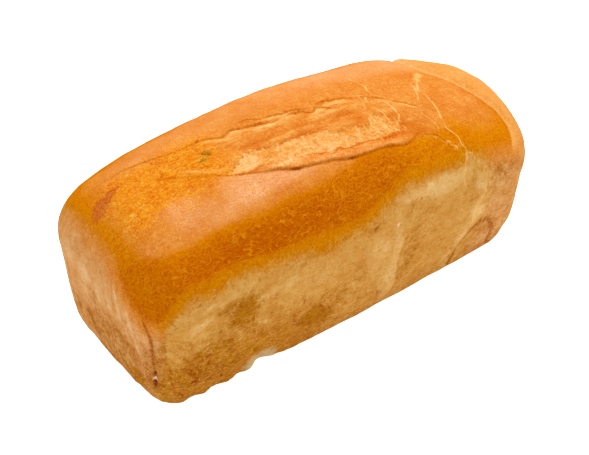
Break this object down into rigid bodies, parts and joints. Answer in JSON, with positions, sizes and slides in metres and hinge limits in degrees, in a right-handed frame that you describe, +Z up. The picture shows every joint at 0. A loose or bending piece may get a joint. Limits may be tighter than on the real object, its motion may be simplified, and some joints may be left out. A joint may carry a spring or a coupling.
{
  "type": "tin loaf",
  "caption": "Whole uncut white bread loaf baked in a tin, with pale straight sides and a browned domed top that tore open along its length.",
  "frame": {"origin": "under the middle of the loaf's box, on the plane it rests on", "axes": "+X along the loaf from its squarer end to its rounder end, +Z up, the torn side of the dome towards -Y"},
  "size_m": [0.2634, 0.1162, 0.1158],
  "materials": {
    "crust": "baked crust: golden brown and faintly glossy over the dome, pale and matt on the tin's sides"
  },
  "bodies": {
    "root": {"loaf": "crust"}
  },
  "joints": []
}
